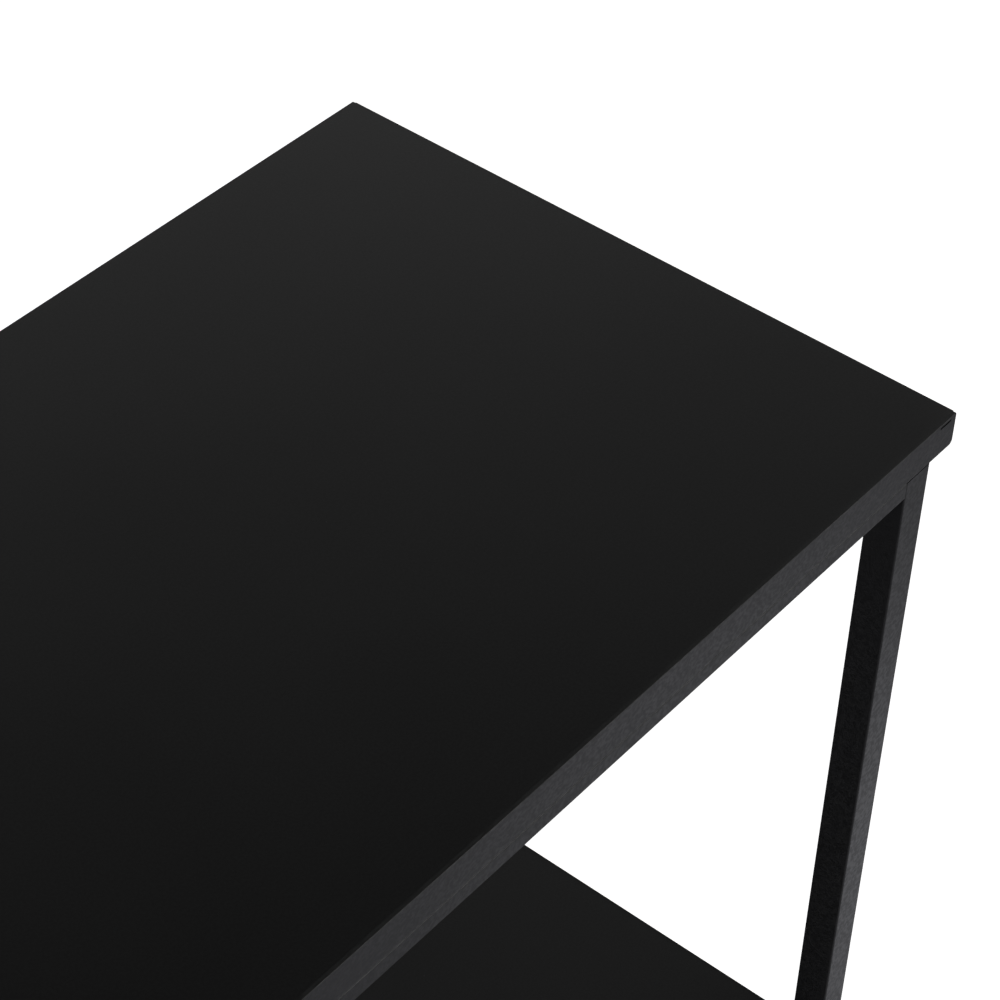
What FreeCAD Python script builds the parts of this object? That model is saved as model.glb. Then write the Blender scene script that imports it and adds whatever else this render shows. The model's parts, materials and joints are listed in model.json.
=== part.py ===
"""Folding side table with a flip-up top and shelf on a frame that folds flat.

Axes: +X along the table, +Y towards the back, +Z up, in millimetres. The origin is on
the floor, in the middle of the whole table, hinge barrels included.

A rear frame carries two hinged boards. A front frame is joined to it at each end by an
upper and a lower two-part stay. The stays are straight when the table is open. Their
middle pivots swing inwards to bring the front frame back beside the rear frame.
"""
import FreeCAD, Part
import os
import re
import Sketcher

OUTPUT_FOLDER = "parts"
SHEET_NAME = "Dimensions"
SIDES = {"left": -1, "right": 1}
LEVELS = ("upper", "lower")

# Driving dimensions. Each one is a cell of the spreadsheet.
DIMENSIONS = {
    "table_length": 600,
    "table_depth": 390,
    "table_height": 580,
    "board_thickness": 20,
    "band_thickness": 2,
    "arris_radius": 0.5,
    "band_top_corner": 1.3,
    "band_low_corner": 3,
    "shelf_thickness": 18,
    "shelf_drop": 448.5,
    "shelf_end_gap": 1.5,
    "board_gap": 0.4,
    "glue_slit_length": 9,
    "glue_slit_height": 1.2,
    "glue_slit_end": 4.7,
    "glue_slit_drop": 2.2,
    "end_overhang": 19,
    "leg_width": 20,
    "leg_wall": 1.2,
    "leg_corner": 1,
    "rail_height": 10,
    "rail_wall": 1,
    "rail_corner": 0.8,
    "foot_height": 4,
    "foot_insert": 12,
    "foot_bevel": 0.8,
    "plug_height": 8,
    "plug_recess": 0.5,
    "plug_clearance": 0.1,
    "strip_width": 14,
    "strip_thickness": 2.5,
    "strip_gap": 0.3,
    "strip_reach": 15,
    "stop_lip": 2.5,
    "stop_offset": 4,
    "pivot_inset": 30,
    "pivot_gap": 12,
    "rivet_radius": 2.5,
    "rivet_clearance": 0.06,
    "rivet_head_radius": 4.5,
    "rivet_head": 1.2,
    "rivet_bevel": 0.6,
    "rivet_space": 1.5,
    "hinge_centre": 190,
    "hinge_width": 50,
    "knuckle_width": 16,
    "knuckle_radius": 3,
    "knuckle_gap": 0.4,
    "hinge_pin_radius": 1.5,
    "pin_clearance": 0.05,
    "leaf_thickness": 1.6,
    "leaf_height": 16,
    "screw_spread": 17,
    "screw_rise": 10,
    "rivet_drop": 6.6,
    "screw_radius": 1.6,
    "screw_length": 16,
    "screw_head_radius": 2.7,
    "screw_head": 1,
    "blind_rivet_length": 6,
    "hole_clearance": 0.05,
}

# Places and sizes that follow from the driving dimensions.
FORMULAS = {
    "pin_offset": "knuckle_radius + knuckle_gap",
    "barrel_reach": "pin_offset + knuckle_radius",
    "front_face": "-(table_depth + barrel_reach) / 2",
    "back_face": "front_face + table_depth",
    "board_middle": "front_face + table_depth / 2",
    "pin_line": "back_face + pin_offset",
    "board_underside": "table_height - board_thickness",
    "shelf_surface": "table_height - shelf_drop",
    "shelf_underside": "shelf_surface - shelf_thickness",
    "leg_line": "table_length / 2 - end_overhang - leg_width / 2",
    "leg_inner": "leg_line - leg_width / 2",
    "front_leg_line": "front_face + leg_width / 2",
    "rear_leg_line": "back_face - leg_width / 2",
    "frame_top": "board_underside - board_gap",
    "leg_length": "frame_top - foot_height",
    "leg_bore": "leg_width - 2 * leg_wall",
    "plug_width": "leg_bore - 2 * plug_clearance",
    "shelf_length": "2 * (leg_inner - shelf_end_gap)",
    "upper_rail_top": "frame_top",
    "lower_rail_top": "shelf_underside - board_gap",
    "pivot_line": "leg_inner - pivot_gap",
    "rear_pivot": "back_face - pivot_inset",
    "front_pivot": "front_face + pivot_inset",
    "stay_half": "(rear_pivot - front_pivot) / 2",
    "middle_pivot": "front_pivot + stay_half",
    "rear_lug_top": "-rail_height - rivet_space",
    "strip_step": "strip_thickness + strip_gap",
    "rear_stay_top": "rear_lug_top - strip_step",
    "front_stay_top": "rear_stay_top - strip_step",
    "front_lug_top": "front_stay_top - strip_step",
    "lug_reach": "pivot_inset - leg_width / 2",
    "rivet_grip": "strip_thickness + strip_step",
    "rivet_hole": "rivet_radius + rivet_clearance",
    "screw_hole": "screw_radius + hole_clearance",
    "pin_bore": "hinge_pin_radius + pin_clearance",
}


def bound(formula):
    """Write a formula of dimension names as an expression on the spreadsheet."""
    def cell(match):
        name = match.group()
        if name in FORMULAS:
            return "(" + bound(FORMULAS[name]) + ")"
        return SHEET_NAME + "." + name if name in DIMENSIONS else name
    return re.sub(r"[a-z_]+", cell, formula)


def make_sheet(doc):
    sheet = doc.addObject("Spreadsheet::Sheet", SHEET_NAME)
    for row, (alias, value) in enumerate(DIMENSIONS.items(), start=1):
        sheet.set(f"A{row}", alias)
        sheet.set(f"B{row}", str(value))
        sheet.setAlias(f"B{row}", alias)
    doc.recompute()


def place(item, x="0", y="0", z="0"):
    for axis, formula in zip("xyz", (x, y, z)):
        item.setExpression("Placement.Base." + axis, bound(formula))


def new_body(doc, label, x="0", y="0", z="0"):
    body = doc.addObject("PartDesign::Body", label)
    body.Label = label
    place(body, x, y, z)
    return body


# Sketches and features -----------------------------------------------------------------

def sketch_on(body, role, shift="0"):
    """Sketch on one of the body's origin planes, moved along the plane's normal."""
    plane = next(item for item in body.Origin.OriginFeatures if item.Role == role)
    sketch = body.newObject("Sketcher::SketchObject", body.Name + "_sketch")
    sketch.AttachmentSupport = [(plane, "")]
    sketch.MapMode = "FlatFace"
    sketch.setExpression("AttachmentOffset.Base.z", bound(shift))
    return sketch


def pin_down(sketch, curve, point, x, y):
    """Fix a point of a curve at (x, y), both formulas."""
    for kind, axis, formula in (("DistanceX", -2, x), ("DistanceY", -1, y)):
        if formula == "0":
            sketch.addConstraint(Sketcher.Constraint("PointOnObject", curve, point, axis))
            continue
        row = sketch.addConstraint(Sketcher.Constraint(kind, -1, 1, curve, point, 1.0))
        sketch.setExpression(f"Constraints[{row}]", bound(formula))


def polygon(sketch, corners):
    """Closed outline through corners given as pairs of formulas."""
    first = sketch.GeometryCount
    count = len(corners)
    for step in range(count):
        start = FreeCAD.Vector(step, step * step, 0)
        end = FreeCAD.Vector(step + 1, (step + 1) ** 2, 0)
        sketch.addGeometry(Part.LineSegment(start, end), False)
    for step in range(count):
        following = first + (step + 1) % count
        sketch.addConstraint(Sketcher.Constraint("Coincident", first + step, 2, following, 1))
    for step, (x, y) in enumerate(corners):
        pin_down(sketch, first + step, 1, x, y)


def rectangle(sketch, width, height, x="0", y="0"):
    """Rectangle of the given size, centred on (x, y)."""
    left, right = f"{x} - ({width}) / 2", f"{x} + ({width}) / 2"
    low, high = f"{y} - ({height}) / 2", f"{y} + ({height}) / 2"
    polygon(sketch, [(left, low), (right, low), (right, high), (left, high)])


def circle(sketch, radius, x="0", y="0"):
    curve = sketch.addGeometry(Part.Circle(FreeCAD.Vector(), FreeCAD.Vector(0, 0, 1), 1), False)
    row = sketch.addConstraint(Sketcher.Constraint("Radius", curve, 1.0))
    sketch.setExpression(f"Constraints[{row}]", bound(radius))
    pin_down(sketch, curve, 3, x, y)


def pad(body, sketch, length, both_ways=False, downwards=False):
    feature = body.newObject("PartDesign::Pad", body.Name + "_pad")
    feature.Profile = sketch
    feature.setExpression("Length", bound(length))
    feature.Midplane = both_ways
    feature.Reversed = downwards
    body.Document.recompute()
    return feature


def pocket(body, sketch, depth, along_normal=False):
    """Cut to a depth, against the sketch's normal unless along_normal is set."""
    before = body.Shape.Volume
    feature = body.newObject("PartDesign::Pocket", body.Name + "_pocket")
    feature.Profile = sketch
    feature.setExpression("Length", bound(depth))
    feature.Reversed = along_normal
    body.Document.recompute()
    if not feature.Shape.Volume < before:
        raise RuntimeError(f"{body.Label}: the pocket cuts nothing")
    return feature


def revolve(body, sketch):
    feature = body.newObject("PartDesign::Revolution", body.Name + "_turned")
    feature.Profile = sketch
    feature.ReferenceAxis = (sketch, ["V_Axis"])
    body.Document.recompute()
    return feature


def fillet(body, base, radius, wanted):
    """Round those edges of the base feature that the test accepts."""
    whole = base.Shape.BoundBox
    names = [f"Edge{number}" for number, edge in enumerate(base.Shape.Edges, start=1)
             if wanted(edge.BoundBox, whole)]
    feature = body.newObject("PartDesign::Fillet", body.Name + "_fillet")
    feature.Base = (base, names)
    feature.setExpression("Radius", bound(radius))
    body.Document.recompute()
    return feature


def near(first, second, tolerance=1e-4):
    return abs(first - second) < tolerance


def outer_line(low_a, high_a, low_b, high_b, whole_a, whole_b):
    """An edge that lies on the outer limits of both directions across it."""
    on_a = near(low_a, high_a) and min(abs(low_a - limit) for limit in whole_a) < 1e-4
    on_b = near(low_b, high_b) and min(abs(low_b - limit) for limit in whole_b) < 1e-4
    return on_a and on_b


def upright_corner(edge, whole):
    return outer_line(edge.XMin, edge.XMax, edge.YMin, edge.YMax,
                      (whole.XMin, whole.XMax), (whole.YMin, whole.YMax))


def long_corner(edge, whole):
    return outer_line(edge.YMin, edge.YMax, edge.ZMin, edge.ZMax,
                      (whole.YMin, whole.YMax), (whole.ZMin, whole.ZMax))


def end_corner(edge, whole):
    return outer_line(edge.XMin, edge.XMax, edge.ZMin, edge.ZMax,
                      (whole.XMin, whole.XMax), (whole.ZMin, whole.ZMax))


def group(doc, label, members):
    """Several identical solids that share one node."""
    compound = doc.addObject("Part::Compound", label)
    compound.Label = label
    compound.Links = members
    return compound


# Frames --------------------------------------------------------------------------------

def leg(doc, label, x, y):
    body = new_body(doc, label, x, y, "foot_height")
    sketch = sketch_on(body, "XY_Plane")
    rectangle(sketch, "leg_width", "leg_width")
    rectangle(sketch, "leg_bore", "leg_bore")
    fillet(body, pad(body, sketch, "leg_length"), "leg_corner", upright_corner)
    return body


def rail(doc, label, y, top, riveted):
    """Flat tube between two legs, with holes in its back wall for the hinge rivets."""
    body = new_body(doc, label, "0", y, f"{top} - rail_height / 2")
    sketch = sketch_on(body, "YZ_Plane")
    rectangle(sketch, "leg_width", "rail_height")
    rectangle(sketch, "leg_width - 2 * rail_wall", "rail_height - 2 * rail_wall")
    fillet(body, pad(body, sketch, "2 * leg_inner", both_ways=True), "rail_corner", long_corner)
    if riveted:
        holes = sketch_on(body, "XZ_Plane")
        for hinge in SIDES.values():
            for screw in SIDES.values():
                circle(holes, "screw_hole", f"{hinge} * hinge_centre + {screw} * screw_spread",
                       "rail_height / 2 + board_gap - rivet_drop")
        pocket(body, holes, "leg_width")
    return body


def foot(doc, label, x, y):
    body = new_body(doc, label, x, y)
    sketch = sketch_on(body, "XY_Plane")
    rectangle(sketch, "leg_width", "leg_width")
    head = fillet(body, pad(body, sketch, "foot_height"), "leg_corner", upright_corner)
    fillet(body, head, "foot_bevel", lambda edge, whole: near(edge.ZMax, whole.ZMin))
    insert = sketch_on(body, "XY_Plane", "foot_height")
    rectangle(insert, "plug_width", "plug_width")
    pad(body, insert, "foot_insert")
    return body


def leg_plug(doc, label, x, y):
    body = new_body(doc, label, x, y, "frame_top - plug_recess - plug_height")
    sketch = sketch_on(body, "XY_Plane")
    rectangle(sketch, "plug_width", "plug_width")
    pad(body, sketch, "plug_height")
    return body


def frame(doc, name, leg_y, riveted):
    """Two legs with feet and plugs, and two rails."""
    nodes = []
    plugs = []
    for side, sign in SIDES.items():
        x = f"{sign} * leg_line"
        nodes.append(leg(doc, f"{name}_leg_{side}", x, leg_y))
        nodes.append(foot(doc, f"{name}_foot_{side}", x, leg_y))
        plugs.append(leg_plug(doc, f"{name}_plug_{side}", x, leg_y))
    nodes.append(group(doc, f"{name}_leg_plugs", plugs))
    for level in LEVELS:
        nodes.append(rail(doc, f"{name}_rail_{level}", leg_y, f"{level}_rail_top", riveted))
    return nodes


# Folding stays -------------------------------------------------------------------------

def stay_lug(doc, label, sign, way, y, top):
    """Lug welded to a leg's inner face, which reaches past the leg to hold a rivet.

    way is +1 when the leg is behind the rivet, and -1 when it is in front of it.
    """
    body = new_body(doc, label, f"{sign} * pivot_line", y, f"{top} - strip_thickness")
    outline = sketch_on(body, "XY_Plane")
    rectangle(outline, "pivot_gap + strip_width / 2", "lug_reach + strip_width / 2",
              f"{sign} * (pivot_gap - strip_width / 2) / 2",
              f"{way} * (lug_reach - strip_width / 2) / 2")
    free_x = "XMin" if sign > 0 else "XMax"
    free_y = "YMin" if way > 0 else "YMax"
    fillet(body, pad(body, outline, "strip_thickness"), "strip_width / 2",
           lambda edge, whole: upright_corner(edge, whole)
           and near(getattr(edge, free_x), getattr(whole, free_x))
           and near(getattr(edge, free_y), getattr(whole, free_y)))
    hole = sketch_on(body, "XY_Plane")
    circle(hole, "rivet_hole")
    pocket(body, hole, "strip_thickness", along_normal=True)
    return body


def stay_strip(doc, label, sign, start, top, reach="0"):
    """Flat strip from its own rear pivot to its front pivot, holed at both."""
    body = new_body(doc, label, f"{sign} * pivot_line", start, f"{top} - strip_thickness")
    bar = sketch_on(body, "XY_Plane")
    rectangle(bar, "strip_width", f"stay_half + {reach}", "0", f"-(stay_half + {reach}) / 2")
    pad(body, bar, "strip_thickness")
    ends = sketch_on(body, "XY_Plane")
    circle(ends, "strip_width / 2")
    if reach == "0":
        circle(ends, "strip_width / 2", "0", "-stay_half")
    pad(body, ends, "strip_thickness")
    holes = sketch_on(body, "XY_Plane")
    circle(holes, "rivet_hole")
    circle(holes, "rivet_hole", "0", "-stay_half")
    pocket(body, holes, "strip_thickness", along_normal=True)
    return body


def stop_lip(body, sign):
    """Turned-down lip on the inner side that stops the stay when it is straight."""
    web = sketch_on(body, "XY_Plane")
    along = "-stay_half - (strip_reach + stop_offset) / 2"
    length = "strip_reach - stop_offset"
    inwards = "strip_width / 2 + (strip_gap + stop_lip) / 2"
    rectangle(web, "strip_gap + stop_lip", length, f"{-sign} * ({inwards})", along)
    pad(body, web, "strip_thickness")
    lip = sketch_on(body, "XY_Plane")
    inwards = "strip_width / 2 + strip_gap + stop_lip / 2"
    rectangle(lip, "stop_lip", length, f"{-sign} * ({inwards})", along)
    pad(body, lip, "strip_step", downwards=True)


def rivet(doc, label, x, y, z):
    """Solid rivet: a shank between two bevelled heads, centred on its grip."""
    body = new_body(doc, label, x, y, z)
    half = "rivet_grip / 2"
    profile = [("0", f"-{half} - rivet_head"),
               ("rivet_head_radius - rivet_bevel", f"-{half} - rivet_head"),
               ("rivet_head_radius", f"-{half} - rivet_head + rivet_bevel"),
               ("rivet_head_radius", f"-{half}"),
               ("rivet_radius", f"-{half}"),
               ("rivet_radius", half),
               ("rivet_head_radius", half),
               ("rivet_head_radius", f"{half} + rivet_head - rivet_bevel"),
               ("rivet_head_radius - rivet_bevel", f"{half} + rivet_head"),
               ("0", f"{half} + rivet_head")]
    sketch = sketch_on(body, "XZ_Plane")
    polygon(sketch, profile)
    revolve(body, sketch)
    return body


def stays(doc):
    nodes = []
    lugs = {"rear": [], "front": []}
    rivets = {"rear": [], "front": []}
    half_grip = "rivet_grip / 2"
    for level in LEVELS:
        for side, sign in SIDES.items():
            name = f"{level}_{side}"
            x = f"{sign} * pivot_line"
            rear_lug = f"{level}_rail_top + rear_lug_top"
            rear_top = f"{level}_rail_top + rear_stay_top"
            front_top = f"{level}_rail_top + front_stay_top"
            front_lug = f"{level}_rail_top + front_lug_top"
            rear = stay_strip(doc, f"stay_{name}_rear", sign, "rear_pivot", rear_top, "strip_reach")
            stop_lip(rear, sign)
            front = stay_strip(doc, f"stay_{name}_front", sign, "middle_pivot", front_top)
            middle = rivet(doc, f"stay_{name}_rivet", x, "middle_pivot",
                           f"{rear_top} - {half_grip}")
            nodes += [rear, front, middle]
            lugs["rear"].append(stay_lug(doc, f"rear_lug_{name}", sign, 1, "rear_pivot", rear_lug))
            lugs["front"].append(stay_lug(doc, f"front_lug_{name}", sign, -1, "front_pivot",
                                          front_lug))
            rivets["rear"].append(rivet(doc, f"rear_rivet_{name}", x, "rear_pivot",
                                        f"{rear_lug} - {half_grip}"))
            rivets["front"].append(rivet(doc, f"front_rivet_{name}", x, "front_pivot",
                                         f"{front_top} - {half_grip}"))
    for end in ("rear", "front"):
        nodes.append(group(doc, f"{end}_stay_lugs", lugs[end]))
        nodes.append(group(doc, f"{end}_stay_rivets", rivets[end]))
    return nodes


# Boards --------------------------------------------------------------------------------

def screw_holes(body, length, back, underside):
    """Holes in a board's or band's back edge for the hinge screws."""
    holes = sketch_on(body, "XZ_Plane", f"-({back})")
    for hinge in SIDES.values():
        for screw in SIDES.values():
            circle(holes, "screw_hole", f"{hinge} * hinge_centre + {screw} * screw_spread",
                   f"{underside} + screw_rise")
    pocket(body, holes, length, along_normal=True)


def board(doc, name, length, thickness, underside):
    """Panel with an edge band glued along each of its four edges."""
    nodes = []
    panel = new_body(doc, f"{name}_panel", "0", "board_middle", underside)
    sketch = sketch_on(panel, "XY_Plane")
    inner_depth = "table_depth - 2 * band_thickness"
    rectangle(sketch, f"{length} - 2 * band_thickness", inner_depth)
    pad(panel, sketch, thickness)
    screw_holes(panel, "screw_length", "table_depth / 2 - band_thickness", "0")
    nodes.append(panel)
    for edge, sign in (("front", -1), ("back", 1)):
        y = f"board_middle + {sign} * (table_depth - band_thickness) / 2"
        band = new_body(doc, f"{name}_band_{edge}", "0", y, underside)
        sketch = sketch_on(band, "XY_Plane")
        rectangle(sketch, length, "band_thickness")
        blank = pad(band, sketch, thickness)
        rounded = fillet(band, blank, "band_top_corner", lambda line, whole: end_corner(line, whole)
                         and near(line.ZMin, whole.ZMax))
        rounded = fillet(band, rounded, "band_low_corner",
                         lambda line, whole: end_corner(line, whole)
                         and near(line.ZMax, whole.ZMin))
        outer = "YMin" if sign < 0 else "YMax"
        inner = "YMax" if sign < 0 else "YMin"
        fillet(band, rounded, "arris_radius",
               lambda line, whole: near(getattr(line, inner), getattr(whole, outer)))
        if edge == "back":
            screw_holes(band, "band_thickness", "band_thickness / 2", "0")
        nodes.append(band)
    for side, sign in SIDES.items():
        x = f"{sign} * ({length} - band_thickness) / 2"
        band = new_body(doc, f"{name}_band_{side}", x, "board_middle", underside)
        sketch = sketch_on(band, "XY_Plane")
        rectangle(sketch, "band_thickness", inner_depth)
        outer = "XMin" if sign < 0 else "XMax"
        fillet(band, pad(band, sketch, thickness), "arris_radius",
               lambda edge_box, whole: near(edge_box.XMin, edge_box.XMax)
               and near(edge_box.XMin, getattr(whole, outer)) and near(edge_box.ZMin, edge_box.ZMax))
        nodes.append(band)
    return nodes


def glue_slit(band):
    """Short open glue line in the front band, near its right end."""
    slit = sketch_on(band, "XZ_Plane", "-band_thickness")
    rectangle(slit, "glue_slit_length", "glue_slit_height",
              "table_length / 2 - glue_slit_end - glue_slit_length / 2",
              "board_thickness - glue_slit_drop")
    pocket(band, slit, "2 * band_thickness", along_normal=True)


# Hinges --------------------------------------------------------------------------------

def cylinder_along_x(doc, name, radius, start, length):
    """Cylinder on the hinge's own axis."""
    cylinder = doc.addObject("Part::Cylinder", name)
    cylinder.Placement = FreeCAD.Placement(
        FreeCAD.Vector(), FreeCAD.Rotation(FreeCAD.Vector(0, 1, 0), 90))
    cylinder.setExpression("Radius", bound(radius))
    cylinder.setExpression("Height", bound(length))
    cylinder.setExpression("Placement.Base.x", bound(start))
    return cylinder


def cylinder_along_y(doc, name, radius, x, z):
    """Hole through a leaf, from well behind it to well in front."""
    cylinder = doc.addObject("Part::Cylinder", name)
    cylinder.Placement = FreeCAD.Placement(
        FreeCAD.Vector(), FreeCAD.Rotation(FreeCAD.Vector(1, 0, 0), 90))
    cylinder.setExpression("Radius", bound(radius))
    cylinder.setExpression("Height", bound("4 * knuckle_radius"))
    place(cylinder, x, "2 * knuckle_radius", z)
    return cylinder


def plate(doc, name, start, width, low, height):
    """Flat part of a leaf, against the back face."""
    box = doc.addObject("Part::Box", name)
    for field, formula in (("Length", width), ("Width", "leaf_thickness"), ("Height", height)):
        box.setExpression(field, bound(formula))
    place(box, start, "-pin_offset", low)
    return box


def leaf(doc, label, x, z, knuckles, low, height, web_low, screw_z):
    """Hinge leaf: a plate, webs up to its knuckles, the pin's bore and two holes.

    knuckles is a list of (start, width) along the pin, and z is the pin's height.
    """
    solids = [plate(doc, label + "_plate", "-hinge_width / 2", "hinge_width", low, height)]
    for number, (start, width) in enumerate(knuckles):
        name = f"{label}_{number}"
        solids.append(cylinder_along_x(doc, name + "_knuckle", "knuckle_radius", start, width))
        solids.append(plate(doc, name + "_web", start, width, web_low, "pin_offset + knuckle_gap"))
    whole = doc.addObject("Part::MultiFuse", label + "_whole")
    whole.Shapes = solids
    holes = [cylinder_along_x(doc, label + "_bore", "pin_bore", "-hinge_width", "2 * hinge_width")]
    for sign in SIDES.values():
        holes.append(cylinder_along_y(doc, f"{label}_hole_{sign + 1}", "screw_hole",
                                      f"{sign} * screw_spread", screw_z))
    tools = doc.addObject("Part::MultiFuse", label + "_holes")
    tools.Shapes = holes
    result = doc.addObject("Part::Cut", label)
    result.Label = label
    result.Base = whole
    result.Tool = tools
    place(result, x, "pin_line", z)
    return result


def turned_along_y(doc, label, x, z, length):
    """Screw or blind rivet through a leaf: a round head behind it and a shank."""
    body = new_body(doc, label, x, "pin_line - pin_offset + leaf_thickness", z)
    profile = [("0", "screw_head"),
               ("screw_head_radius - screw_head / 2", "screw_head"),
               ("screw_head_radius", "screw_head / 2"),
               ("screw_head_radius", "0"),
               ("screw_radius", "0"),
               ("screw_radius", f"-({length})"),
               ("0", f"-({length})")]
    sketch = sketch_on(body, "XY_Plane")
    polygon(sketch, profile)
    revolve(body, sketch)
    return body


def hinge_pin(doc, label, x, z):
    body = new_body(doc, label, x, "pin_line", z)
    sketch = sketch_on(body, "YZ_Plane")
    circle(sketch, "hinge_pin_radius")
    pad(body, sketch, "hinge_width", both_ways=True)
    return body


def hinges(doc, name, pin_height):
    """Two butt hinges that join a board to the rear rail under it."""
    nodes = []
    pins = []
    screws = []
    rivets = []
    half_knuckle = "(knuckle_width / 2 + strip_gap / 2)"
    side_width = f"hinge_width / 2 - {half_knuckle}"
    frame_knuckles = [("-hinge_width / 2", side_width), (half_knuckle, side_width)]
    board_knuckles = [("-knuckle_width / 2 + strip_gap / 2", "knuckle_width - strip_gap")]
    for side, sign in SIDES.items():
        x = f"{sign} * hinge_centre"
        nodes.append(leaf(doc, f"{name}_hinge_frame_{side}", x, pin_height, frame_knuckles,
                          "-rail_height - board_gap", "rail_height - pin_offset",
                          "-pin_offset - knuckle_gap", "-rivet_drop"))
        nodes.append(leaf(doc, f"{name}_hinge_board_{side}", x, pin_height, board_knuckles,
                          "pin_offset", "leaf_height - pin_offset", "0", "screw_rise"))
        pins.append(hinge_pin(doc, f"{name}_pin_{side}", x, pin_height))
        for number, screw in enumerate(SIDES.values()):
            screw_x = f"{x} + {screw} * screw_spread"
            label = f"{name}_{side}_{number}"
            screws.append(turned_along_y(doc, label + "_screw", screw_x,
                                         f"{pin_height} + screw_rise", "screw_length"))
            rivets.append(turned_along_y(doc, label + "_rivet", screw_x,
                                         f"{pin_height} - rivet_drop", "blind_rivet_length"))
    nodes.append(group(doc, f"{name}_hinge_pins", pins))
    nodes.append(group(doc, f"{name}_hinge_screws", screws))
    nodes.append(group(doc, f"{name}_hinge_rivets", rivets))
    return nodes


# Whole table ---------------------------------------------------------------------------

def check(doc, nodes):
    """Stop if an object failed to compute or a sub-part has no sound solid."""
    for item in doc.Objects:
        if "Invalid" in item.State or "Error" in item.State:
            raise RuntimeError(f"{item.Label} failed: {item.State}")
    for node in nodes:
        shape = node.Shape
        if shape.isNull() or not shape.isValid() or not shape.Solids:
            raise RuntimeError(f"{node.Label} has no valid solid")


def export(nodes):
    os.makedirs(OUTPUT_FOLDER, exist_ok=True)
    for node in nodes:
        node.Shape.exportStep(os.path.join(OUTPUT_FOLDER, node.Label + ".step"))


def build():
    doc = FreeCAD.newDocument("folding_side_table")
    make_sheet(doc)
    nodes = frame(doc, "rear", "rear_leg_line", riveted=True)
    nodes += frame(doc, "front", "front_leg_line", riveted=False)
    nodes += stays(doc)
    top = board(doc, "top", "table_length", "board_thickness", "board_underside")
    glue_slit(next(node for node in top if node.Label == "top_band_front"))
    nodes += top
    nodes += board(doc, "shelf", "shelf_length", "shelf_thickness", "shelf_underside")
    nodes += hinges(doc, "top", "board_underside")
    nodes += hinges(doc, "shelf", "shelf_underside")
    doc.recompute()
    check(doc, nodes)
    export(nodes)
    print(f"{len(nodes)} nodes written")


build()
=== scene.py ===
"""Looks of the folding side table: materials, small fittings, studio and camera."""

import json
import math

import bmesh
import bpy
from mathutils import Matrix, Vector


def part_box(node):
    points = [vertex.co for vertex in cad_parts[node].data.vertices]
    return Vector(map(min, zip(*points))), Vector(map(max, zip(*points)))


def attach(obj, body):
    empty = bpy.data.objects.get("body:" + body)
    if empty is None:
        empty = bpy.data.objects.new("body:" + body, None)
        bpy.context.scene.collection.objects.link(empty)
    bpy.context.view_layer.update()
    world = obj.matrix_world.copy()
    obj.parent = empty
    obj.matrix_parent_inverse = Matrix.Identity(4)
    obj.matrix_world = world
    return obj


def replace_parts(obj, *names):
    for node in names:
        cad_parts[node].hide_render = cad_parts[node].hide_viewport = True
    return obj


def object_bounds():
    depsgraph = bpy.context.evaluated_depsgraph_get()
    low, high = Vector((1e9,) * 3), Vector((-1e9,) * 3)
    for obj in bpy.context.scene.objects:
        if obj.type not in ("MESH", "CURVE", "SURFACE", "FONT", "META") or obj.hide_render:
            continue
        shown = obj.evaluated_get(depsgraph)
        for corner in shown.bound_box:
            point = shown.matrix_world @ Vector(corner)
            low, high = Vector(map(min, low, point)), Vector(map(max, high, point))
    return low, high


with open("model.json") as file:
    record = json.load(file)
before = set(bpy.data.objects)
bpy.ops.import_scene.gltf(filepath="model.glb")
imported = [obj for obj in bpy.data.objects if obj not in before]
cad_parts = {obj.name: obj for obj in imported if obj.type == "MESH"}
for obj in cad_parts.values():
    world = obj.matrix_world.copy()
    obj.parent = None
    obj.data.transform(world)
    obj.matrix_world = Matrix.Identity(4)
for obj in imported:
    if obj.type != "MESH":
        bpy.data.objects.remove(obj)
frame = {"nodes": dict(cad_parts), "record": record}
CAD_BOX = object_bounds()
NODES = frame["nodes"]
MM = 0.001
NEAR_CORNER = (CAD_BOX[1].x, CAD_BOX[0].y, CAD_BOX[1].z)


# Materials -----------------------------------------------------------------------------

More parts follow.
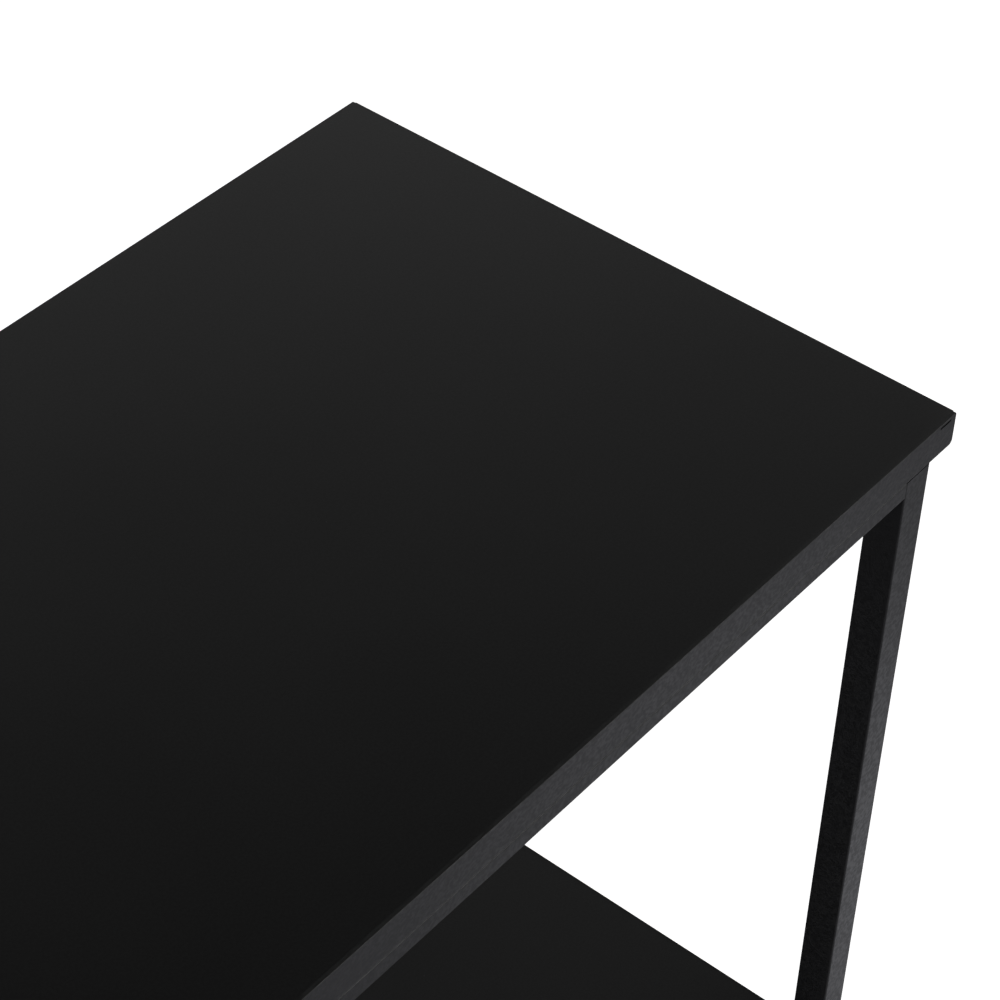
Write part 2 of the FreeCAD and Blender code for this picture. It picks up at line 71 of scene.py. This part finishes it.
class Paint:
    """Short way to build a node material around one Principled shader."""

    def __init__(self, name, roughness=0.5, specular=0.5, metallic=0.0):
        self.material = bpy.data.materials.new(name)
        self.material.use_nodes = True
        self.tree = self.material.node_tree
        self.shader = self.tree.nodes["Principled BSDF"]
        self.shader.inputs["Roughness"].default_value = roughness
        self.shader.inputs["Specular IOR Level"].default_value = specular
        self.shader.inputs["Metallic"].default_value = metallic
        where = self.tree.nodes.new("ShaderNodeTexCoord")
        self.place, self.facing = where.outputs["Object"], where.outputs["Normal"]

    def link(self, output, target):
        self.tree.links.new(output, target)

    def noise(self, scale, detail=3.0, stretch=None):
        """Noise value between about 0.3 and 0.7. scale is in features per metre."""
        node = self.tree.nodes.new("ShaderNodeTexNoise")
        node.inputs["Scale"].default_value = scale
        node.inputs["Detail"].default_value = detail
        place = self.place
        if stretch:
            mapping = self.tree.nodes.new("ShaderNodeMapping")
            mapping.inputs["Scale"].default_value = stretch
            self.link(place, mapping.inputs["Vector"])
            place = mapping.outputs["Vector"]
        self.link(place, node.inputs["Vector"])
        return node.outputs["Fac"]

    def ramp(self, value, low, high, start, end):
        """Map value from low..high to start..end, held at the ends."""
        node = self.tree.nodes.new("ShaderNodeMapRange")
        node.inputs["From Min"].default_value = low
        node.inputs["From Max"].default_value = high
        node.inputs["To Min"].default_value = start
        node.inputs["To Max"].default_value = end
        self.link(value, node.inputs["Value"])
        return node.outputs["Result"]

    def mix(self, share, first, second):
        """Colour between first and second, each a colour or a node's output."""
        node = self.tree.nodes.new("ShaderNodeMix")
        node.data_type = "RGBA"
        self.link(share, node.inputs["Factor"])
        for socket, colour in zip((node.inputs[6], node.inputs[7]), (first, second)):
            if isinstance(colour, tuple):
                socket.default_value = (*colour, 1.0)
            else:
                self.link(colour, socket)
        return node.outputs[2]

    def specks(self, scale, radius):
        """1 inside small round specks, one in each cell, and 0 outside."""
        node = self.tree.nodes.new("ShaderNodeTexVoronoi")
        node.inputs["Scale"].default_value = scale
        self.link(self.place, node.inputs["Vector"])
        inside = self.ramp(node.outputs["Distance"], radius, radius * 0.5, 0.0, 1.0)
        picked = self.tree.nodes.new("ShaderNodeSeparateColor")
        self.link(node.outputs["Color"], picked.inputs["Color"])
        few = self.ramp(picked.outputs["Red"], 0.80, 0.95, 0.0, 1.0)
        return self.product(inside, few)

    def product(self, first, second):
        node = self.tree.nodes.new("ShaderNodeMath")
        node.operation = "MULTIPLY"
        self.link(first, node.inputs[0])
        self.link(second, node.inputs[1])
        return node.outputs["Value"]

    def facing_up(self):
        """1 on a face that looks up at rest, and 0 on an upright one."""
        split = self.tree.nodes.new("ShaderNodeSeparateXYZ")
        self.link(self.facing, split.inputs["Vector"])
        return self.ramp(split.outputs["Z"], 0.5, 0.95, 0.0, 1.0)

    def along(self, axis):
        """Place along one axis of the table, in metres."""
        split = self.tree.nodes.new("ShaderNodeSeparateXYZ")
        self.link(self.place, split.inputs["Vector"])
        return split.outputs[axis]

    def far_from(self, point):
        """Distance from a fixed point of the table, in metres."""
        node = self.tree.nodes.new("ShaderNodeVectorMath")
        node.operation = "DISTANCE"
        node.inputs[1].default_value = point
        self.link(self.place, node.inputs[0])
        return node.outputs["Value"]

    def soften_edges(self, radius):
        """Make sharp edges catch the light as if they were rounded."""
        node = self.tree.nodes.new("ShaderNodeBevel")
        node.inputs["Radius"].default_value = radius
        self.link(node.outputs["Normal"], self.shader.inputs["Normal"])

    def colour(self, output):
        self.link(output, self.shader.inputs["Base Color"])

    def rough(self, output):
        self.link(output, self.shader.inputs["Roughness"])

    def bump(self, height, depth):
        """depth is the height of the relief in metres."""
        node = self.tree.nodes.new("ShaderNodeBump")
        node.inputs["Distance"].default_value = depth
        self.link(height, node.inputs["Height"])
        if self.shader.inputs["Normal"].is_linked:
            self.link(self.shader.inputs["Normal"].links[0].from_socket, node.inputs["Normal"])
        self.link(node.outputs["Normal"], self.shader.inputs["Normal"])


def laminate(name, dark, light, gloss):
    """Matt black melamine: faint relief, slow cloudiness, a few dust specks and a scuffed corner.

    dark and light are its two greys, and gloss its least and greatest roughness.
    """
    paint = Paint(name, specular=0.5)
    fine = paint.noise(700, 6)
    cloud = paint.noise(9, 3)
    face = paint.mix(paint.ramp(fine, 0.4, 0.6, 0, 1), (dark,) * 3, (light,) * 3)
    scuff = paint.ramp(paint.far_from(NEAR_CORNER), 4 * MM, 22 * MM, 0.8, 0.0)
    face = paint.mix(scuff, face, (0.012, 0.0105, 0.0100))
    dust = paint.specks(70, 0.022)
    paint.colour(paint.mix(dust, face, (0.10, 0.10, 0.10)))
    paint.rough(paint.ramp(cloud, 0.3, 0.7, *gloss))
    paint.bump(fine, 0.03 * MM)
    return paint.material


def near_corner_painted_shade(paint, face):
    """Painted shade: darken the trimmed upper end of the front band, and paint shadow inside its
    open glue line.
    """
    front, top = NEAR_CORNER[1:]
    end = paint.ramp(paint.far_from(NEAR_CORNER), 14 * MM, 20 * MM, 1.0, 0.0)
    high = paint.ramp(paint.along("Z"), top - 2.2 * MM, top - 1.6 * MM, 0.0, 1.0)
    deep = paint.ramp(paint.along("Y"), front + 0.5 * MM, front + 0.7 * MM, 0.0, 1.0)
    # Painted shade on the trimmed upper end of the band, near the corner.
    face = paint.mix(paint.product(end, high), face, (0.004, 0.004, 0.0042))
    # Painted shadow inside the open glue line.
    return paint.mix(paint.product(end, deep), face, (0.0005, 0.0005, 0.0005))


def painted_lip_highlight(paint, face):
    """Paint a highlight on the top's lower lip, which shows as a thin line over the rail."""
    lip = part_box("top_band_front")[0].z
    over = paint.ramp(paint.along("Z"), lip - MM, lip - 0.5 * MM, 0.0, 1.0)
    under = paint.ramp(paint.along("Z"), lip + 0.5 * MM, lip + MM, 1.0, 0.0)
    # Painted highlight: a lighter grey in a thin strip along the lip.
    return paint.mix(paint.product(over, under), face, (0.050, 0.050, 0.052))


def edge_band():
    """Black edge band: grain and mottling, painted shade near the near right corner, a painted
    highlight on the lower lip, and painted shade on its up-facing faces.
    """
    paint = Paint("black_edge_band", specular=0.5)
    grain = paint.noise(560, 3, (0.8, 0.8, 1.0))
    mottle = paint.noise(240, 3)
    face = paint.mix(paint.ramp(grain, 0.40, 0.60, 0, 1), (0.001, 0.001, 0.0015),
                     (0.019, 0.019, 0.0207))
    face = paint.mix(paint.ramp(mottle, 0.42, 0.58, 0, 0.6), face, (0.020, 0.020, 0.0218))
    face = near_corner_painted_shade(paint, face)
    face = painted_lip_highlight(paint, face)
    # Up-facing faces get a darker grey than upright ones: painted shade, set by which way a face
    # looks.
    paint.colour(paint.mix(paint.facing_up(), face, (0.0045, 0.0045, 0.0045)))
    paint.rough(paint.ramp(grain, 0.4, 0.6, 0.40, 0.60))
    paint.bump(mottle, 0.04 * MM)
    return paint.material


def powder_coat(name="black_powder_coat", tone=1.0, edge=0.0):
    """Fine-texture black powder coat: orange peel with a finer sparkle on it."""
    paint = Paint(name, specular=0.5)
    if edge:
        paint.soften_edges(edge)
    peel = paint.noise(420, 3)
    grit = paint.noise(1500, 2)
    dark = tuple(tone * part for part in (0.006, 0.006, 0.0065))
    light = tuple(tone * part for part in (0.014, 0.014, 0.0152))
    paint.colour(paint.mix(paint.ramp(grit, 0.40, 0.60, 0, 1), dark, light))
    paint.rough(paint.ramp(peel, 0.4, 0.6, 0.42, 0.54))
    paint.bump(peel, 0.05 * MM)
    paint.bump(grit, 0.02 * MM)
    return paint.material


def plated_steel(name, colour, worn):
    """Dark plated steel with fine rubbed streaks."""
    paint = Paint(name, metallic=1.0)
    paint.soften_edges(0.35 * MM)
    streak = paint.noise(700, 4, (0.1, 1.0, 1.0))
    patch = paint.noise(120, 3)
    paint.colour(paint.mix(paint.ramp(patch, 0.4, 0.7, 0, 1), colour, worn))
    paint.rough(paint.ramp(streak, 0.3, 0.7, 0.30, 0.48))
    paint.bump(streak, 0.01 * MM)
    return paint.material


def moulded_plastic():
    """Black moulded plastic with a spark-eroded texture."""
    paint = Paint("black_moulded_plastic", specular=0.45)
    grit = paint.noise(2000, 3)
    paint.colour(paint.mix(paint.ramp(grit, 0.35, 0.65, 0, 1), (0.008, 0.008, 0.008),
                           (0.015, 0.015, 0.015)))
    paint.rough(paint.ramp(grit, 0.3, 0.7, 0.5, 0.65))
    paint.bump(grit, 0.04 * MM)
    return paint.material


MATERIALS = {
    "laminate": laminate("black_melamine", 0.002, 0.0065, (0.365, 0.385)),
    "edge_band": edge_band(),
    "frame_coat": powder_coat(),
    "stay_steel": powder_coat("black_coated_strip", 0.9, 0.4 * MM),
    "hinge_steel": plated_steel("black_zinc", (0.06, 0.06, 0.065), (0.11, 0.11, 0.112)),
    "fastener_steel": plated_steel("dark_plate", (0.17, 0.17, 0.175), (0.30, 0.30, 0.30)),
    "plug_plastic": moulded_plastic(),
}


def dress(item, slot):
    """Give an object its one material."""
    item.data.materials.clear()
    item.data.materials.append(MATERIALS[slot])


for part in frame["record"]["subparts"]:
    dress(NODES[part["node"]], part["material_slot"])
# The shelf's copy of the melamine has lighter greys than the top's: painted light that makes up
# for the shade under the top. It is also rougher.
shelf_face = NODES["shelf_panel"].data.materials
shelf_face.clear()
shelf_face.append(laminate("black_melamine_shelf", 0.007, 0.012, (0.48, 0.50)))


# Fittings ------------------------------------------------------------------------------

LEAF = 1.6 * MM
THREAD_PITCH = 1.3 * MM
LUG_THICKNESS = 2.5 * MM
RAIL_BEAD = 1.2 * MM
LUG_BEAD = 1.3 * MM
BEAD_STEP = 0.45 * MM
BEAD_SECTION = ((-0.15, -0.15), (1, -0.15), (0.95, 0.12), (0.62, 0.60), (0.12, 0.95), (-0.15, 1))


def middle(node):
    low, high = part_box(node)
    return (low + high) / 2


def turned(shape, profile, place, segments=36):
    """Add a lathed solid. profile is (radius, height) pairs from one pole to the other."""
    rings = []
    for radius, height in profile:
        if radius == 0:
            rings.append([shape.verts.new(place @ Vector((0, 0, height)))])
            continue
        rings.append([shape.verts.new(place @ Vector((radius * math.cos(turn),
                                                      radius * math.sin(turn), height)))
                      for turn in (math.tau * step / segments for step in range(segments))])
    for one, two in zip(rings, rings[1:]):
        for step in range(segments):
            after = (step + 1) % segments
            corners = [one[step % len(one)], one[after % len(one)],
                       two[after % len(two)], two[step % len(two)]]
            shape.faces.new(list(dict.fromkeys(corners)))


def finished(name, shape, body, slot):
    """Turn a bmesh into a piece that rides on a body."""
    bmesh.ops.recalc_face_normals(shape, faces=shape.faces)
    mesh = bpy.data.meshes.new(name)
    shape.to_mesh(mesh)
    shape.free()
    item = bpy.data.objects.new(name, mesh)
    bpy.context.scene.collection.objects.link(item)
    mesh.shade_smooth()
    mesh.set_sharp_from_angle(angle=math.radians(40))
    dress(item, slot)
    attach(item, body)
    return item


def dome(radius, base, rise, steps=6):
    """Points over a dome from its rim to its pole, above a height."""
    return [(radius * math.cos(turn), base + rise * math.sin(turn))
            for turn in (math.pi / 2 * step / steps for step in range(steps))] + [(0, base + rise)]


def set_rivet(shape, place, radius, head, length):
    """Solid rivet with a snap head above and a flatter closed head below."""
    half = length / 2
    shank = 0.55 * radius
    over = dome(radius, half - head + 0.25 * head, 0.75 * head)
    under = [(0, -half), (0.45 * radius, -half), (0.80 * radius, -half + 0.25 * head),
             (radius, -half + 0.65 * head), (radius, -half + head)]
    turned(shape, under + [(shank, -half + head), (shank, half - head), (radius, half - head)]
           + over, place)


def stay_rivets():
    low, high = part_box("stay_upper_right_rivet")
    radius, length = (high.x - low.x) / 2, high.z - low.z
    head = 0.15 * length
    for level in ("upper", "lower"):
        for side in ("left", "right"):
            node = f"stay_{level}_{side}_rivet"
            shape = bmesh.new()
            set_rivet(shape, Matrix.Translation(middle(node)), radius, head, length)
            piece = finished(f"set_{node}", shape, f"stay_{level}_{side}_rear", "fastener_steel")
            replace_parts(piece, node)
    for end in ("front", "rear"):
        node = f"{end}_stay_rivets"
        low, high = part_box(node)
        shape = bmesh.new()
        for x in (low.x + radius, high.x - radius):
            for z in (low.z + length / 2, high.z - length / 2):
                place = Matrix.Translation((x, (low.y + high.y) / 2, z))
                set_rivet(shape, place, radius, head, length)
        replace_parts(finished(f"set_{node}", shape, f"{end}_frame", "fastener_steel"), node)


def fixing_places(level, node):
    """Seats of the four fixings in a row of hinge holes, on the board's back face.

    Each seat's own z points out of the hole. Also gives the radius of their heads, how far
    they stand out from the seat, and how far they reach in.
    """
    low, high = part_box(node)
    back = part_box(f"{level}_band_back")[1].y
    hinge = middle(f"{level}_hinge_frame_right").x
    head = (high.z - low.z) / 2
    spread = high.x - head - hinge
    turn = Matrix.Rotation(math.radians(-90), 4, "X")
    places = []
    for side in (-1, 1):
        for screw in (-1, 1):
            seat = Vector((side * (hinge + screw * spread), back, (low.z + high.z) / 2))
            places.append(Matrix.Translation(seat) @ turn)
    return places, head, high.y - back, back - low.y


def recess_blade(head, depth, turn):
    """Cutter for one arm of a cross recess: a blade that tapers downwards."""
    shape = bmesh.new()
    for vert in bmesh.ops.create_cube(shape, size=1)["verts"]:
        taper = 0.55 if vert.co.z < 0 else 1.0
        vert.co = Vector((vert.co.x * 1.25 * head * taper, vert.co.y * 0.24 * head,
                          vert.co.z * 2 * depth))
    bmesh.ops.rotate(shape, verts=shape.verts, matrix=Matrix.Rotation(turn, 3, "Z"))
    return held("recess", shape)


def held(name, shape):
    """Object that is needed only while another piece is made."""
    mesh = bpy.data.meshes.new(name)
    shape.to_mesh(mesh)
    shape.free()
    item = bpy.data.objects.new(name, mesh)
    bpy.context.scene.collection.objects.link(item)
    return item


def pan_screw_mesh(head, rise, depth):
    """Pan-head screw with a thread, and a cross recess in its head."""
    shape = bmesh.new()
    core, crest, rim = 0.40 * head, 0.58 * head, rise - LEAF
    tip = 2 * MM - depth
    profile = [(0, -depth), (0.10 * head, -depth)]
    for turn in range(int(-tip / THREAD_PITCH)):
        foot = tip + turn * THREAD_PITCH
        profile += [(core, foot), (crest, foot + THREAD_PITCH / 2)]
    profile += [(core, 0), (crest, LEAF), (head, LEAF), (head, LEAF + 0.35 * rim)]
    profile += dome(head, LEAF + 0.35 * rim, 0.65 * rim)[1:]
    turned(shape, profile, Matrix(), 28)
    bmesh.ops.recalc_face_normals(shape, faces=shape.faces)
    blank = held("screw_blank", shape)
    blades = [recess_blade(head, 0.8 * rim, turn) for turn in (0, math.pi / 2)]
    for blade in blades:
        blade.location.z = rise
        cut = blank.modifiers.new("recess", "BOOLEAN")
        cut.operation = "DIFFERENCE"
        cut.solver = "EXACT"
        cut.object = blade
    graph = bpy.context.evaluated_depsgraph_get()
    result = bpy.data.meshes.new_from_object(blank.evaluated_get(graph))
    for item in (blank, *blades):
        bpy.data.objects.remove(item)
    return result


def blind_rivet(shape, place, head, rise, depth):
    """Blind rivet: a domed flange with the mandrel's hole, and a bulged blind end."""
    bore, shank, rim = 0.30 * head, 0.58 * head, rise - LEAF
    profile = [(0, LEAF - 0.4 * MM), (bore, LEAF - 0.4 * MM), (bore, rise), (0.62 * head, rise),
               (0.88 * head, LEAF + 0.6 * rim), (head, LEAF + 0.2 * rim), (head, LEAF),
               (shank, LEAF), (shank, -0.6 * depth), (0.75 * head, -0.8 * depth), (0, -depth)]
    turned(shape, profile, place, 28)


def hinge_fixings():
    """Cross-recess screws in the boards and blind rivets in the rails."""
    for level in ("top", "shelf"):
        node = f"{level}_hinge_screws"
        places, head, rise, depth = fixing_places(level, node)
        unit = pan_screw_mesh(head, rise, depth)
        shape = bmesh.new()
        for number, place in enumerate(places):
            copy = unit.copy()
            copy.transform(place @ Matrix.Rotation(0.7 * number + 0.3, 4, "Z"))
            shape.from_mesh(copy)
        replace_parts(finished(f"cut_{node}", shape, level, "fastener_steel"), node)
        node = f"{level}_hinge_rivets"
        places, head, rise, depth = fixing_places(level, node)
        shape = bmesh.new()
        for place in places:
            blind_rivet(shape, place, head, rise, depth)
        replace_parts(finished(f"set_{node}", shape, "rear_frame", "fastener_steel"), node)


def bead(shape, start, end, across, down, size):
    """Rippled weld bead along an inside corner.

    across and down are the directions along its two surfaces, away from the corner.
    """
    line = end - start
    count = max(6, round(line.length / BEAD_STEP))
    rings = []
    for step in range(count + 1):
        along = step / count
        swell = size * (1 + 0.10 * math.cos(along * line.length / (1.7 * MM) * math.tau)
                        + 0.06 * math.sin(along * line.length / (5.3 * MM) * math.tau))
        swell *= min(1, 0.35 + 4 * min(along, 1 - along))
        root = start + along * line
        rings.append([shape.verts.new(root + swell * (a * across + b * down))
                      for a, b in BEAD_SECTION])
    for one, two in zip(rings, rings[1:]):
        for spot in range(len(one)):
            after = (spot + 1) % len(one)
            shape.faces.new((one[spot], one[after], two[after], two[spot]))
    shape.faces.new(rings[0][::-1])
    shape.faces.new(rings[-1])


def welds():
    """Beads under the rails' ends and along the lugs of each frame."""
    down = Vector((0, 0, -1))
    front_margin, back_margin, lug_margin = 4 * MM, 2 * MM, 0.5 * MM
    for end, inward in (("front", 1), ("rear", -1)):
        shape = bmesh.new()
        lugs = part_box(f"{end}_stay_lugs")
        for side in ("left", "right"):
            low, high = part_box(f"{end}_leg_{side}")
            across = Vector((1 if side == "left" else -1, 0, 0))
            x = high.x if side == "left" else low.x
            centre = (low.y + high.y) / 2
            inner = high.y if inward > 0 else low.y
            for level in ("upper", "lower"):
                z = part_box(f"{end}_rail_{level}")[0].z
                ends = Vector((x, low.y + front_margin, z)), Vector((x, high.y - back_margin, z))
                bead(shape, *ends, across, down, RAIL_BEAD)
            for z in (lugs[0].z, lugs[1].z - LUG_THICKNESS):
                ends = (Vector((x, centre + inward * lug_margin, z)),
                        Vector((x, inner - inward * lug_margin, z)))
                bead(shape, *ends, across, down, LUG_BEAD)
        finished(f"{end}_welds", shape, f"{end}_frame", "frame_coat")


stay_rivets()
hinge_fixings()
welds()


# Studio --------------------------------------------------------------------------------

FLOOR_SIZE = 60.0
HORIZON_LIGHT = 1.3
GLOW_SPOT = Vector((0.27, -0.105, 0))
GLOW_REACH = (0.06, 0.41)
GLOW_LEVELS = (0.75, 0.24)


def ground(name, height, paint):
    mesh = bpy.data.meshes.new(name)
    shape = bmesh.new()
    bmesh.ops.create_grid(shape, x_segments=1, y_segments=1, size=FLOOR_SIZE / 2)
    shape.to_mesh(mesh)
    shape.free()
    item = bpy.data.objects.new(name, mesh)
    item.location.z = height
    bpy.context.scene.collection.objects.link(item)
    mesh.materials.append(paint.material)
    return item


def floor():
    """White floor for the eye, and a dim one below it that lights the table.

    The dim one is brightest in a spot beside the near right foot.
    """
    white = Paint("pale_floor", roughness=0.9, specular=0.2)
    cloud = white.noise(1.5, 3)
    white.colour(white.mix(cloud, (0.80, 0.80, 0.80), (0.84, 0.84, 0.84)))
    white.shader.inputs["Emission Color"].default_value = (1, 1, 1, 1)
    white.shader.inputs["Emission Strength"].default_value = 0.9
    seen = ground("floor", 0, white)
    seen.visible_diffuse = seen.visible_glossy = False
    dim = Paint("dim_floor", roughness=0.9, specular=0.0)
    dim.colour(dim.mix(dim.noise(1.5, 3), (0, 0, 0), (0.001, 0.001, 0.001)))
    away = dim.tree.nodes.new("ShaderNodeVectorMath")
    away.operation = "DISTANCE"
    away.inputs[1].default_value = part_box("front_foot_right")[0] + GLOW_SPOT
    dim.link(dim.place, away.inputs[0])
    level = dim.ramp(away.outputs["Value"], *GLOW_REACH, *GLOW_LEVELS)
    dim.shader.inputs["Emission Color"].default_value = (0.97, 0.97, 1.03, 1)
    dim.link(level, dim.shader.inputs["Emission Strength"])
    glow = ground("floor_glow", -2 * MM, dim)
    glow.visible_camera = False


def studio_light(name, place, aim, size, power):
    lamp = bpy.data.lights.new(name, "AREA")
    lamp.shape = "RECTANGLE"
    lamp.size, lamp.size_y = size
    lamp.energy = power
    item = bpy.data.objects.new(name, lamp)
    item.location = place
    item.rotation_euler = (Vector(aim) - Vector(place)).to_track_quat("-Z", "Y").to_euler()
    item.visible_camera = False
    bpy.context.scene.collection.objects.link(item)


def backdrop():
    """White walls for the eye. What lights the table is brightest low down and behind."""
    world = bpy.data.worlds.new("studio")
    world.use_nodes = True
    bpy.context.scene.world = world
    tree = world.node_tree
    place = tree.nodes.new("ShaderNodeTexCoord")
    split = tree.nodes.new("ShaderNodeSeparateXYZ")
    ramp = tree.nodes.new("ShaderNodeValToRGB")
    behind = tree.nodes.new("ShaderNodeMapRange")
    both = tree.nodes.new("ShaderNodeVectorMath")
    both.operation = "SCALE"
    tree.links.new(place.outputs["Generated"], split.inputs["Vector"])
    tree.links.new(split.outputs["Z"], ramp.inputs["Fac"])
    tree.links.new(split.outputs["Y"], behind.inputs["Value"])
    behind.inputs["From Min"].default_value = -1.0
    behind.inputs["To Min"].default_value = 0.0
    behind.inputs["To Max"].default_value = 1.4
    tree.links.new(ramp.outputs["Color"], both.inputs["Vector"])
    tree.links.new(behind.outputs["Result"], both.inputs["Scale"])
    tree.links.new(both.outputs["Vector"], tree.nodes["Background"].inputs["Color"])
    tree.nodes["Background"].inputs["Strength"].default_value = HORIZON_LIGHT
    seen = tree.nodes.new("ShaderNodeBackground")
    sight = tree.nodes.new("ShaderNodeLightPath")
    choice = tree.nodes.new("ShaderNodeMixShader")
    tree.links.new(sight.outputs["Is Camera Ray"], choice.inputs["Fac"])
    tree.links.new(tree.nodes["Background"].outputs["Background"], choice.inputs[1])
    tree.links.new(seen.outputs["Background"], choice.inputs[2])
    tree.links.new(choice.outputs["Shader"], tree.nodes["World Output"].inputs["Surface"])
    seen.inputs["Color"].default_value = (1, 1, 1, 1)
    stops = ((0.0, 1.0), (0.24, 1.0), (0.47, 0.16), (0.70, 0.013), (1.0, 0.013))
    while len(ramp.color_ramp.elements) < len(stops):
        ramp.color_ramp.elements.new(0.5)
    for element, (height, level) in zip(ramp.color_ramp.elements, stops):
        element.position = height
        element.color = (level, level, level, 1)


def camera():
    """The photographer's place, measured from the table's near right top corner."""
    low, high = CAD_BOX
    corner = Vector((high.x, low.y, high.z))
    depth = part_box("top_band_back")[1].y - low.y
    azimuth, elevation, roll = (math.radians(angle) for angle in (-51.722, 42.634, 1.977))
    back = Vector((math.sin(azimuth) * math.cos(elevation),
                   -math.cos(azimuth) * math.cos(elevation), math.sin(elevation)))
    item = bpy.data.objects.new("camera", bpy.data.cameras.new("camera"))
    bpy.context.scene.collection.objects.link(item)
    bpy.context.scene.camera = item
    item.data.lens = 107.79
    item.location = corner + depth * Vector((-2.5591, -1.3032, 2.4179))
    turn = (-back).to_track_quat("-Z", "Y").to_matrix() @ Matrix.Rotation(roll, 3, "Z")
    item.rotation_euler = turn.to_euler()


floor()
backdrop()
studio_light("front_softbox", (1.2, -2.3, 1.2), (0.2, 0, 0.2), (2.0, 1.4), 26)
camera()
bpy.context.scene.view_settings.view_transform = "Standard"
